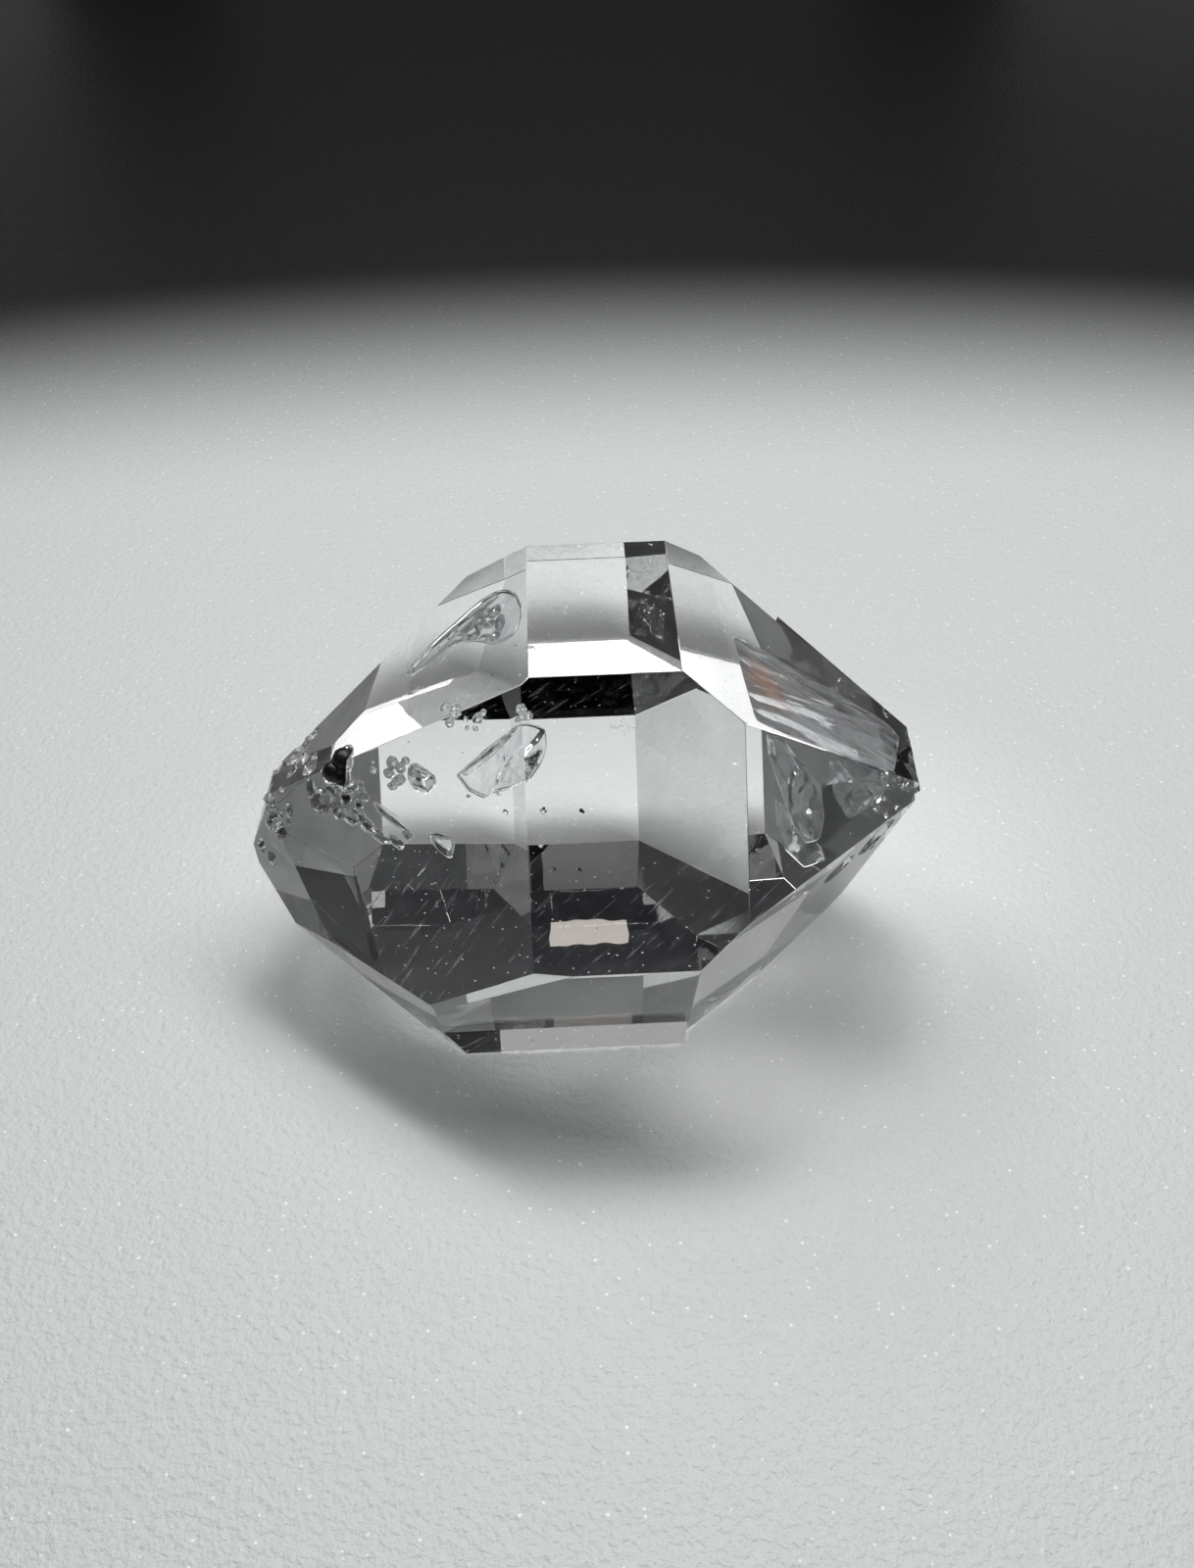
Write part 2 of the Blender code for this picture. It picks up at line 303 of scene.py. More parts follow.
# Closed cavities inside the quartz: centre, radii, turns, number of flat facets (0 is round) and roughness.
CAVITIES = (
    ((-7.40, 0.22, 4.85), (0.44, 0.13, 0.17), (0, -38, -20), 0, 0.10),
    ((-6.23, 0.94, 5.87), (0.26, 0.04, 0.06), (0, -38, 20), 0, 0.00),
    ((-3.23, -1.76, 8.20), (0.17, 0.07, 0.08), (0, 30, 0), 7, 0.10),
    ((-2.77, -2.45, 8.55), (0.16, 0.07, 0.07), (0, 0, 0), 7, 0.10),
    ((-5.98, -2.42, 5.94), (0.29, 0.24, 0.28), (0, 0, 0), 8, 0.10),
    ((-5.63, -2.91, 6.18), (0.24, 0.21, 0.24), (0, 40, 0), 8, 0.15),
    ((-5.86, -3.25, 5.98), (0.22, 0.18, 0.20), (0, 0, 0), 0, 0.00),
    ((-5.47, -3.27, 6.44), (0.14, 0.13, 0.15), (0, 0, 0), 8, 0.10),
    ((-5.20, -3.55, 6.36), (0.13, 0.11, 0.14), (0, 0, 0), 7, 0.10),
    ((-5.16, -3.78, 6.12), (0.11, 0.11, 0.11), (0, 0, 0), 0, 0.00),
    ((-4.72, -3.83, 6.58), (0.27, 0.21, 0.31), (0, 25, 10), 9, 0.12),
    ((-4.50, -3.91, 6.90), (0.15, 0.14, 0.17), (0, 25, 10), 8, 0.12),
    ((-4.82, -3.97, 6.24), (0.15, 0.14, 0.15), (0, 0, 0), 8, 0.10),
    ((-3.12, -4.80, 7.66), (0.18, 0.15, 0.21), (0, 0, 30), 8, 0.20),
    ((-2.95, -4.90, 7.40), (0.20, 0.15, 0.20), (0, 0, 0), 8, 0.20),
    ((-3.20, -4.95, 7.28), (0.14, 0.11, 0.14), (0, 0, 0), 8, 0.20),
    ((-3.82, -6.20, 3.90), (0.14, 0.12, 0.11), (0, 20, 0), 9, 0.05),
    ((-2.53, -6.60, 4.22), (0.17, 0.14, 0.12), (0, 20, 0), 9, 0.05),
    ((-7.04, -3.42, 3.45), (0.81, 0.49, 0.67), (20, 25, -30), 12, 0.03),
    ((-8.32, -2.36, 3.50), (0.32, 0.22, 0.29), (0, 30, 0), 0, 0.30),
    ((-7.98, -2.60, 3.42), (0.27, 0.22, 0.24), (0, 30, 0), 0, 0.30),
    ((-8.50, -2.50, 3.08), (0.30, 0.22, 0.24), (40, 30, 0), 0, 0.30),
    ((-8.10, -2.86, 2.98), (0.38, 0.21, 0.26), (0, 0, 20), 0, 0.30),
    ((-8.36, -2.80, 2.66), (0.26, 0.18, 0.18), (0, 0, 0), 0, 0.30),
    ((-7.78, -2.76, 3.86), (0.21, 0.16, 0.19), (0, 0, 0), 0, 0.30),
    ((-9.21, -2.10, 2.96), (0.17, 0.14, 0.17), (0, 0, 0), 0, 0.05),
    ((-9.18, -1.92, 3.22), (0.07, 0.06, 0.07), (0, 0, 0), 0, 0.05),
    ((-6.39, -5.20, 1.56), (0.76, 0.38, 0.46), (15, 22, -24), 11, 0.02),
    ((-4.02, -5.10, 4.00), (0.34, 0.07, 0.06), (0, 12, -28), 0, 0.05),
    ((-5.05, -4.35, 3.30), (0.12, 0.08, 0.09), (0, 0, 0), 7, 0.10),
    ((-7.25, -4.75, -0.20), (0.30, 0.03, 0.03), (0, -50, 0), 0, 0.10),
    ((-7.79, -4.95, -0.82), (0.26, 0.03, 0.03), (0, 40, 0), 0, 0.10),
    ((-6.70, -5.10, -0.50), (0.22, 0.025, 0.03), (0, 10, 30), 0, 0.10),
)
# The crumpled heart of the veil at the upper left.
CRUMPLES = (
    ((-5.27, 2.46, 6.00), (0.43, 0.33, 0.20), (0, 20, 10), 0, 0.45),
    ((-4.85, 2.62, 6.33), (0.33, 0.43, 0.20), (20, -30, 0), 0, 0.45),
    ((-4.35, 2.58, 6.72), (0.30, 0.45, 0.21), (0, -30, 20), 0, 0.45),
    ((-3.93, 2.18, 7.05), (0.33, 0.43, 0.22), (0, -30, 0), 0, 0.45),
    ((-3.70, 1.10, 7.25), (0.25, 0.55, 0.20), (0, -20, 0), 0, 0.45),
    ((-3.90, 0.42, 7.06), (0.28, 0.33, 0.20), (30, 0, 0), 0, 0.45),
    ((-4.34, 0.78, 6.70), (0.30, 0.35, 0.20), (0, 0, 50), 0, 0.45),
    ((-4.80, 1.50, 6.36), (0.35, 0.33, 0.20), (0, -35, 20), 0, 0.45),
    ((-4.48, 1.95, 6.56), (0.33, 0.30, 0.19), (0, 0, 0), 0, 0.45),
    ((-5.20, 1.72, 6.08), (0.35, 0.25, 0.18), (0, -20, 0), 0, 0.45),
    ((-4.10, 1.50, 6.90), (0.28, 0.25, 0.18), (0, 0, 0), 0, 0.45),
    ((-5.75, 2.00, 5.72), (0.30, 0.18, 0.15), (0, -38, 0), 0, 0.30),
)
# Flat cavities and cracks: outline, thickness, width of the rounded rim, relief, grain of the relief, and how
# much the relief is drawn out along the plate (0 is not at all).
PLATE_RINGS = 14
PLATE_SIDES = 96
# The relief starts this far in from the rim.
RELIEF_START = 0.3
SHIELD = (
    (
        (-5.50, -3.54, 3.72), (-4.91, -3.81, 4.52), (-4.24, -4.17, 5.51), (-3.62, -4.57, 6.36),
        (-3.05, -4.91, 7.13), (-2.71, -5.03, 7.10), (-2.32, -5.11, 6.96), (-2.28, -5.46, 6.35),
        (-2.48, -5.73, 5.88), (-2.60, -5.70, 5.62), (-3.00, -6.00, 5.21), (-3.32, -5.81, 4.80),
        (-3.71, -5.50, 4.39), (-4.11, -5.19, 4.07), (-4.51, -4.91, 3.58), (-5.08, -4.21, 3.45),
    ),
    0.12, 0.12, 0.03, 1.5, 0.0,
)
SHIELD_FOLD = (
    (
        (-5.30, -3.80, 3.98), (-4.80, -4.02, 4.66), (-4.20, -4.36, 5.50), (-3.50, -4.80, 6.50),
        (-3.38, -5.02, 6.63), (-4.10, -4.62, 5.42), (-4.75, -4.30, 4.58), (-5.15, -4.08, 4.05),
    ),
    0.05, 0.06, 0.01, 1.5, 0.0,
)
VEIL = (
    (
        (-7.92, 2.00, 4.44), (-7.47, 2.59, 4.80), (-6.78, 2.90, 5.34), (-6.10, 3.06, 5.88),
        (-5.37, 3.24, 6.45), (-4.65, 3.42, 7.01), (-4.02, 3.26, 7.51), (-3.51, 2.74, 7.91),
        (-3.11, 1.84, 8.23), (-2.91, 0.73, 8.38), (-2.92, -0.10, 8.38), (-3.12, -0.87, 8.22),
        (-3.52, -0.98, 7.90), (-4.06, -0.54, 7.42), (-4.71, 0.50, 6.87), (-5.43, 1.32, 6.30),
        (-6.07, 1.69, 5.80), (-6.70, 1.62, 5.30), (-7.30, 1.42, 4.83), (-7.71, 1.51, 4.56),
    ),
    0.13, 0.16, 0.03, 0.7, 0.0,
)
VEIL_BLADE = (
    (
        (-7.84, 2.05, 4.66), (-6.82, 2.52, 5.46), (-5.54, 2.80, 6.47), (-4.27, 2.93, 7.47),
        (-3.77, 2.64, 7.86), (-4.27, 2.49, 7.47), (-5.31, 2.08, 6.65), (-6.45, 1.78, 5.75),
        (-7.46, 1.47, 4.95),
    ),
    0.12, 0.18, 0.02, 1.0, 0.0,
)
CRACK = (
    (
        (5.54, -5.03, 6.76), (5.23, -2.10, 6.56), (4.97, 0.73, 6.36), (5.54, 1.14, 5.91),
        (6.80, 1.18, 4.97), (8.09, 1.23, 4.01), (9.88, 1.40, 2.60), (11.90, 1.50, 1.20),
        (12.40, 0.90, 0.90), (11.60, -2.50, 1.90), (10.08, -3.22, 3.12), (8.32, -4.08, 4.52),
        (6.68, -4.70, 5.84),
    ),
    0.04, 0.1, 0.12, 1.6, 0.9,
)
SHELL_CRACKS = (
    (
        (
            (5.87, -5.05, 6.20), (6.59, -4.55, 5.45), (7.16, -4.38, 4.36), (8.05, -4.15, 2.90),
            (8.15, -4.60, 1.60), (7.89, -5.00, 0.86), (7.27, -5.45, 1.07), (6.65, -5.55, 2.36),
            (6.37, -5.40, 3.51), (6.12, -5.40, 4.57), (5.89, -5.30, 5.50),
        ),
        0.012, 0.04, 0.22, 0.9, 0.3,
    ),
    (
        (
            (8.53, -3.90, 3.85), (9.59, -3.05, 3.25), (10.45, -2.85, 2.55), (11.30, -2.45, 1.88),
            (11.05, -2.85, 1.30), (10.16, -3.70, 1.13), (9.30, -4.30, 1.21), (8.70, -4.40, 2.50),
        ),
        0.012, 0.04, 0.09, 2.6, 0.6,
    ),
    (
        (
            (5.91, -5.00, 3.10), (6.52, -4.90, 2.30), (7.21, -4.80, 1.20), (7.88, -4.70, 0.18),
            (8.01, -4.70, -0.45), (7.00, -5.25, -0.29), (6.20, -5.50, 0.91), (5.92, -5.35, 2.00),
        ),
        0.012, 0.04, 0.26, 0.9, 0.2,
    ),
)


class Value:
    """One socket of a node tree, with the arithmetic that a material needs."""

    def __init__(self, tree, socket):
        self.tree = tree
        self.socket = socket

    def math(self, operation, *others):
        return self.tree.add("ShaderNodeMath", {"operation": operation}, self, *others)

    def __add__(self, other):
        return self.math("ADD", other)

    __radd__ = __add__

    def __sub__(self, other):
        return self.math("SUBTRACT", other)

    def __rsub__(self, other):
        return self.tree.add("ShaderNodeMath", {"operation": "SUBTRACT"}, other, self)

    def __mul__(self, other):
        return self.math("MULTIPLY", other)

    __rmul__ = __mul__

    def __truediv__(self, other):
        return self.math("DIVIDE", other)

    def step(self, low, high):
        """0 below low, 1 above high, and smooth between them."""
        return self.tree.add(
            "ShaderNodeMapRange",
            {"interpolation_type": "SMOOTHSTEP"},
            self,
            **{"From Min": low, "From Max": high},
        )

    def other(self, name):
        """Another output of the same node."""
        return Value(self.tree, self.socket.node.outputs[name])


class Tree:
    """A node tree, of a material or of geometry."""

    def __init__(self, tree):
        self.nodes = tree.nodes
        self.links = tree.links

    def put(self, socket, value):
        if isinstance(value, Value):
            self.links.new(value.socket, socket)
        else:
            socket.default_value = value

    def add(self, kind, settings=None, *values, out=0, numbered=None, **named):
        """Any node: its type, its settings, then the values or links of its sockets.

        Sockets are given by their order, by number where several have one name, or by name.
        """
        node = self.nodes.new(kind)
        for key, value in (settings or {}).items():
            setattr(node, key, value)
        for socket, value in zip(node.inputs, values):
            self.put(socket, value)
        for key, value in [*(numbered or {}).items(), *named.items()]:
            self.put(node.inputs[key], value)
        return Value(self, node.outputs[out])


class Shader(Tree):
    """The node tree of one material."""

    def __init__(self, name):
        self.material = bpy.data.materials.new(name)
        self.material.use_nodes = True
        super().__init__(self.material.node_tree)
        self.nodes.clear()
        self.output = self.nodes.new("ShaderNodeOutputMaterial")

    def place(self):
        """Object coordinates, the only coordinates these materials read."""
        return self.add("ShaderNodeTexCoord", out="Object")

    def drawn_out(self, at, turn, size):
        """Coordinates that draw a pattern out into streaks."""
        return self.add("ShaderNodeMapping", {"vector_type": "TEXTURE"}, at, Rotation=turn, Scale=size)

    def noise(self, at, scale, detail=3.0, rough=0.5):
        return self.add("ShaderNodeTexNoise", None, Vector=at, Scale=scale, Detail=detail, Roughness=rough)

    def specks(self, at, scale, edge, *often):
        """Round specks on the cells of a pattern. Each (low, high, mask) says how often and where."""
        cells = self.add("ShaderNodeTexVoronoi", {"feature": "F1"}, Vector=at, Scale=scale)
        pick = self.add("ShaderNodeSeparateColor", None, cells.other("Color"))
        chosen = 0.0
        for low, high, mask in often:
            chosen = pick.step(low, high) * mask + chosen
        return (1.0 - cells.step(*edge)) * chosen

    def blend(self, share, one, other):
        """A colour between two colours."""
        return self.add("ShaderNodeMix", {"data_type": "RGBA"}, share, out=2, numbered={6: one, 7: other})

    def bump(self, height, strength, depth):
        return self.add("ShaderNodeBump", None, Strength=strength, Distance=depth, Height=height)

    def surface(self, **sockets):
        """A Principled surface; an underscore stands for a space in a socket's name."""
        named = {key.replace("_", " "): value for key, value in sockets.items()}
        return self.add("ShaderNodeBsdfPrincipled", None, **named)

    def finish(self, surface, volume=None):
        self.links.new(surface.socket, self.output.inputs["Surface"])
        if volume is not None:
            self.links.new(volume.socket, self.output.inputs["Volume"])
        return self.material


def side_direction(bearing):
    """The way out of a prism face."""
    angle = math.radians(bearing)
    return Vector((0.0, -math.cos(angle), math.sin(angle)))


def end_direction(bearing, way):
    """The way out of an end face, at the right (1) or left (-1) end."""
    lean = math.radians(END_LEAN)
    return Vector((way * math.cos(lean), 0.0, 0.0)) + math.sin(lean) * side_direction(bearing)


def crystal_faces():
    """Every plane that bounds the crystal, as a direction and a distance in millimetres."""
    faces = {}
    for name, bearing in SIDES.items():
        faces["prism_" + name] = (side_direction(bearing), PRISM[name])
        faces["right_" + name] = (end_direction(bearing, 1), RIGHT_END[name])
        faces["left_" + name] = (end_direction(bearing, -1), LEFT_END[name])
    for number, (way, distance) in enumerate(BREAKS):
        faces["break_%d" % number] = (Vector(way).normalized(), distance)
    faces["edge_strip"] = (Vector(EDGE_STRIP[0]).normalized(), EDGE_STRIP[1])
    return faces


def new_object(name, shape):
    """An object in the scene from a bmesh, which is freed."""
    mesh = bpy.data.meshes.new(name)
    shape.to_mesh(mesh)
    shape.free()
    made = bpy.data.objects.new(name, mesh)
    bpy.context.scene.collection.objects.link(made)
    return made


def evaluated_mesh(made):
    """The object's mesh with its modifiers applied."""
    bpy.context.view_layer.update()
    return bpy.data.meshes.new_from_object(made.evaluated_get(bpy.context.evaluated_depsgraph_get()))


def cleaved_block(planes):
    """A cube with everything outside the planes cleaved away."""
    shape = bmesh.new()
    bmesh.ops.create_cube(shape, size=ROUGH_CUBE)
    for way, distance in planes:
        cut = bmesh.ops.bisect_plane(
            shape,
            geom=shape.verts[:] + shape.edges[:] + shape.faces[:],
            dist=1e-5,
            plane_co=way * distance,
            plane_no=way,
            clear_outer=True,
        )
        rim = [item for item in cut["geom_cut"] if isinstance(item, bmesh.types.BMEdge)]
        if rim:
            bmesh.ops.edgeloop_fill(shape, edges=rim)
    bmesh.ops.remove_doubles(shape, verts=shape.verts[:], dist=MERGED)
    bmesh.ops.recalc_face_normals(shape, faces=shape.faces[:])
    return shape


def turned(centre, radii, turn):
    """The matrix that stretches a unit ball to three radii, turns it and moves it to its centre."""
    place = Matrix.Translation(Vector(centre))
    for angle, axis in zip(turn, "XYZ"):
        place = place @ Matrix.Rotation(math.radians(angle), 4, axis)
    return place @ Matrix.Diagonal((*radii, 1.0))


def roughened(point, amount, offset):
    """How far a point of a unit ball moves out: large waves with finer ones on them."""
    wave = noise.noise(point * LUMP_GRAIN + offset)
    fine = noise.noise(point * LUMP_GRAIN * 2.7 + offset)
    ridge = 1.0 - abs(noise.noise(point * LUMP_GRAIN * 1.7 - offset)) * 2.0
    return 1.0 + amount * (0.55 * wave + 0.25 * fine + 0.30 * (ridge - 0.6))


def lump(centre, radii, turn=(0, 0, 0), rough=0.0, facets=0, detail=4, seed=0):
    """A ball stretched to three radii, cut by flat facets where it has them, then roughened."""
    dice = random.Random(seed)
    shape = bmesh.new()
    bmesh.ops.create_icosphere(shape, subdivisions=detail, radius=1.0)
    for _ in range(facets):
        way = Vector((dice.gauss(0, 1), dice.gauss(0, 1), dice.gauss(0, 1))).normalized()
        depth = dice.uniform(*FACET_DEPTH)
        for vertex in shape.verts:
            over = vertex.co.dot(way) - depth
            if over > 0:
                vertex.co -= way * over
    offset = Vector((dice.uniform(-50, 50), dice.uniform(-50, 50), dice.uniform(-50, 50)))
    if rough:
        for vertex in shape.verts:
            vertex.co *= roughened(vertex.co.normalized(), rough, offset)
    bmesh.ops.transform(shape, matrix=turned(centre, radii, turn), verts=shape.verts[:])
    return shape


def plate_outline(points):
    """Evenly spaced points along a closed outline, with its corners a little rounded."""
    after = points[1:] + points[:1]
    lengths = [(b - a).length for a, b in zip(points, after)]
    whole = sum(lengths)
    outline = []
    for number in range(PLATE_SIDES):
        along = whole * number / PLATE_SIDES
        index = 0
        while along > lengths[index]:
            along -= lengths[index]
            index += 1
        outline.append(points[index].lerp(after[index], along / lengths[index]))
    rounded = []
    for number, point in enumerate(outline):
        beside = outline[number - 1] + outline[(number + 1) % PLATE_SIDES]
        rounded.append(point * 0.5 + beside * 0.25)
    return rounded


def plate(corners, thick, rim, relief, grain, drawn, seed=0):
    """A thin closed plate on an outline, with a rounded rim and waves of relief: a flat cavity or a crack."""
    points = [Vector(corner) for corner in corners]
    middle = sum(points, Vector()) / len(points)
    normal = Vector()
    for here, after in zip(points, points[1:] + points[:1]):
        normal += (here - middle).cross(after - middle)
    normal.normalize()
    outline = plate_outline(points)
    offset = Vector((seed * 7.3, seed * 3.1, -seed * 5.7))
    long = max((point - middle for point in points), key=lambda arm: arm.length).normalized()

    def spot(share, number, way):
        """A point of a skin (way 1 or -1) or the rim (0), at a share of the way out from the middle."""
        flat = middle.lerp(outline[number], share)
        inset = (1.0 - share) * (outline[number] - middle).length
        swell = min(1.0, inset / rim) if rim else 1.0
        swell = math.sqrt(max(0.0, 1.0 - (1.0 - swell) ** 2))
        at = (flat - long * (flat - middle).dot(long) * drawn) * grain
        wave = noise.noise(at + offset) + 0.4 * noise.noise(at * 2.6 - offset)
        return flat + normal * (relief * min(1.0, inset / RELIEF_START) * wave + way * swell * thick / 2)

    shape = bmesh.new()
    edge = max(0.02, min(0.12, rim / ((outline[0] - middle).length + 1e-6)))
    shares = {round((ring + 1) / PLATE_RINGS, 4) for ring in range(PLATE_RINGS - 1)}
    shares = sorted(shares | {1.0 - edge, 1.0 - edge * 0.5, 1.0 - edge * 0.2})
    rim_verts = [shape.verts.new(spot(1.0, number, 0)) for number in range(PLATE_SIDES)]
    for way in (1, -1):
        rows = []
        for share in shares:
            rows.append([shape.verts.new(spot(share, number, way)) for number in range(PLATE_SIDES)])
        rows.append(rim_verts)
        centre = shape.verts.new(spot(0.0, 0, way))
        for number in range(PLATE_SIDES):
            after = (number + 1) % PLATE_SIDES
            shape.faces.new((centre, rows[0][number], rows[0][after])[::way])
            for inner, outer in zip(rows, rows[1:]):
                shape.faces.new((inner[number], outer[number], outer[after], inner[after])[::way])
    bmesh.ops.recalc_face_normals(shape, faces=shape.faces[:])
    return shape


def growth_ledge(faces):
    """The low lip along the bottom of the front."""
    planes = []
    for name, (way, distance) in faces.items():
        if name not in ("prism_front_lower", "edge_strip"):
            planes.append((way, distance + (LEDGE_PROUD if name == "right_front_lower" else -SUNK)))
    planes.append((Vector((0.0, -1.0, 0.0)), LEDGE_FRONT))
    top = Vector(LEDGE_SLOPE).normalized()
    planes.append((top, top.dot(Vector((0.0, -LEDGE_FRONT, LEDGE_TOP)))))
    planes.append((Vector((0.0, 1.0, 0.0)), LEDGE_DEEP - LEDGE_FRONT))
    planes.append((Vector(LEDGE_END_WAY).normalized(), LEDGE_END))
    return cleaved_block(planes)


def growth_layer(faces):
    """The thin layer that thickens the back of the right end."""
    planes = []
    for name, (way, distance) in faces.items():
        planes.append((way, distance + (LAYER_THICK if name == "right_back_upper" else -SUNK)))
    planes.append((Vector(LAYER_WAY).normalized(), -LAYER_START))
    return cleaved_block(planes)


def end_at(faces, across, height, way):
    """Where a line along X at this place across and up leaves the right (1) or left (-1) end."""
    found = []
    for normal, distance in faces.values():
        if way * normal.x > 1e-6:
            found.append(way * (distance - normal.y * across - normal.z * height) / normal.x)
    return way * min(found)


def boolean(target, shapes, operation):
    """Joins shapes to the target or takes them from it, all at once, and applies the result to its mesh."""
    helpers = bpy.data.collections.new("helpers")
    bpy.context.scene.collection.children.link(helpers)
    for number, shape in enumerate(shapes):
        helper = new_object("helper_%03d" % number, shape)
        bpy.context.scene.collection.objects.unlink(helper)
        helpers.objects.link(helper)
    step = target.modifiers.new(operation.lower(), "BOOLEAN")
    step.operation = operation
    step.solver = "EXACT"
    step.operand_type = "COLLECTION"
    step.collection = helpers
    made = evaluated_mesh(target)
    target.modifiers.remove(step)
    target.data = made
    for helper in list(helpers.objects):
        bpy.data.objects.remove(helper, do_unlink=True)
    bpy.data.collections.remove(helpers)
    if not made.polygons:
        raise RuntimeError("nothing is left of %s after the %s" % (target.name, operation.lower()))


def painted(shape, slot):
    """The same shape, smooth, with every face on one of the crystal's material slots."""
    for face in shape.faces:
        face.material_index = slot
        face.smooth = True
    return shape


def strewn(faces, dice, across, height, way):
    """A random place on one end of the crystal."""
    at = (dice.uniform(*across), dice.uniform(*height))
    return Vector((end_at(faces, *at, way), *at))


def end_pits(faces, dice):
    """The pits etched into the left end: the ones that the photo shows, then the small strewn ones."""
    for number, (centre, radii, turn, rough) in enumerate(PITS):
        yield painted(lump(centre, radii, turn, rough, seed=number), ETCHED)
    for number in range(END_PITS):
        centre = strewn(faces, dice, END_ACROSS, END_HEIGHT, -1) - Vector((PIT_PROUD, 0.0, 0.0))
        radius = dice.uniform(*PIT_RADII)
        radii = (radius, radius * dice.uniform(0.7, 1.3), radius * dice.uniform(0.6, 1.1))
        turn = (dice.uniform(0, 90), dice.uniform(0, 90), 0)
        yield painted(lump(centre, radii, turn, PIT_ROUGH, detail=3, seed=100 + number), ETCHED)


def tip_chips(faces, dice):
    """The shell-shaped chips along the broken right tip: the large ones, then the small strewn ones."""
    for number, (across, height, radii, turn, rough) in enumerate(TIP_CHIPS):
        centre = (end_at(faces, across, height, 1) + TIP_CHIP_PROUD, across, height)
        yield painted(lump(centre, radii, turn, rough, seed=200 + number), INSIDE)
    for number in range(SMALL_CHIPS):
        centre = strewn(faces, dice, CHIP_ACROSS, CHIP_HEIGHT, 1) + Vector((SMALL_CHIP_PROUD, 0.0, 0.0))
        radius = dice.uniform(*CHIP_RADII)
        radii = (radius, radius * dice.uniform(0.5, 1.2), radius * dice.uniform(0.3, 0.7))
        turn = (dice.uniform(0, 90), dice.uniform(0, 90), dice.uniform(0, 90))
        yield painted(lump(centre, radii, turn, CHIP_ROUGH, CHIP_FACETS, 3, 220 + number), INSIDE)


def lump_pit():
    """The open pit of the black lump, which widens towards its mouth."""
    mouth = end_direction(SIDES["top"], -1)
    for number, (centre, radius) in enumerate(LUMP_BALLS):
        grown = (radius + LUMP_GAP,) * 3
        yield painted(lump(centre, grown, rough=0.06, seed=300 + number), ETCHED)
        for step in MOUTH_STEPS:
            wider = (radius + LUMP_GAP + MOUTH_FLARE * step,) * 3
            outer = Vector(centre) + mouth * step
            yield painted(lump(outer, wider, rough=0.08, seed=310 + number), ETCHED)


def inner_hollows():
    """The bubbles and cavities inside the quartz, then its flat cavities and cracks."""
    for number, (centre, radii, turn, facets, rough) in enumerate(CAVITIES + CRUMPLES):
        slot = ETCHED if rough >= ETCHED_FROM else INSIDE
        yield painted(lump(centre, radii, turn, rough, facets, 3, 400 + number), slot)
    plates = [(hollow, INSIDE) for hollow in (SHIELD, SHIELD_FOLD, VEIL, VEIL_BLADE)]
    plates += [(CRACK, CRACKED)] + [(shell, BROKEN) for shell in SHELL_CRACKS]
    for number, ((corners, *sizes), slot) in enumerate(plates):
        yield painted(plate(corners, *sizes, number), slot)


def dusty(shader, at, settings):
    """A cover: dust and scratches under the crystal, and a few specks on its other faces."""
    base = 1.0 - shader.add("ShaderNodeSeparateXYZ", None, at, out="Z").step(*BASE_HEIGHT)
    specks = shader.specks(at, 2600.0, (0.08, 0.16), (0.52, 0.54, base), (0.975, 0.98, 1.0))
    drawn_out = shader.drawn_out(at, SCRATCH_TURN, SCRATCH_SIZE)
    scratches = shader.noise(drawn_out, 1.0, 5.0, 0.65).step(0.56, 0.74) * base
    film = shader.noise(at, 900.0, 4.0).step(0.45, 0.75) * base
    share = specks * 0.9 + scratches * 0.30 + film * settings.dust
    return share.math("MINIMUM", 0.95), DUST_COLOUR


def hazy(amount):
    """A cover: the even haze of an etched face."""

    def cover(shader, at, settings):
        return (shader.noise(at, 450.0, 2.0) * 0.8 + 0.6) * (amount * settings.haze), HAZE_COLOUR

    return cover


def frosty(amount):
    """A cover: the drawn-out pale streaks of a crack, with one warm patch."""

    def cover(shader, at, settings):
        drawn_out = shader.drawn_out(at, STREAK_TURN, STREAK_SIZE)
        streaks = shader.noise(drawn_out, 1.0, 5.0, 0.6).step(0.42, 0.72)
        fine = shader.noise(drawn_out, 4.0, 4.0, 0.6)
        away = shader.add("ShaderNodeVectorMath", {"operation": "DISTANCE"}, at, WARM_SPOT, out="Value")
        warm = (1.0 - away.step(*WARM_REACH)) * fine.step(0.36, 0.60)
        share = streaks * 0.45 + fine.step(0.5, 0.8) * 0.3 + 0.22 + warm * 0.35
        return share * (amount * settings.frost), shader.blend(warm, FROST_COLOUR, WARM_COLOUR)

    return cover


def quartz_material(name, settings, cover=None, roughness=0.0, waves=1.5e-6, grain=420.0):
    """Clear quartz: plain transmission, index and absorption, faint waves, and a matt cover in part."""
    shader = Shader(name)
    at = shader.place()
    surface = shader.surface(
        Base_Color=CLEAR,
        Roughness=roughness,
        IOR=settings.ior,
        Transmission_Weight=1.0,
        Normal=shader.bump(shader.noise(at, grain, 2.0), 1.0, waves),
    )
    if cover:
        share, colour = cover(shader, at, settings)
        matt = shader.surface(Base_Color=colour, Roughness=1.0, Specular_IOR_Level=0.0)
        surface = shader.add("ShaderNodeMixShader", None, share, surface, matt)
    tint = (*settings.tint, 1.0)
    absorb = shader.add("ShaderNodeVolumeAbsorption", None, Color=tint, Density=settings.absorption)
    return shader.finish(surface, absorb)


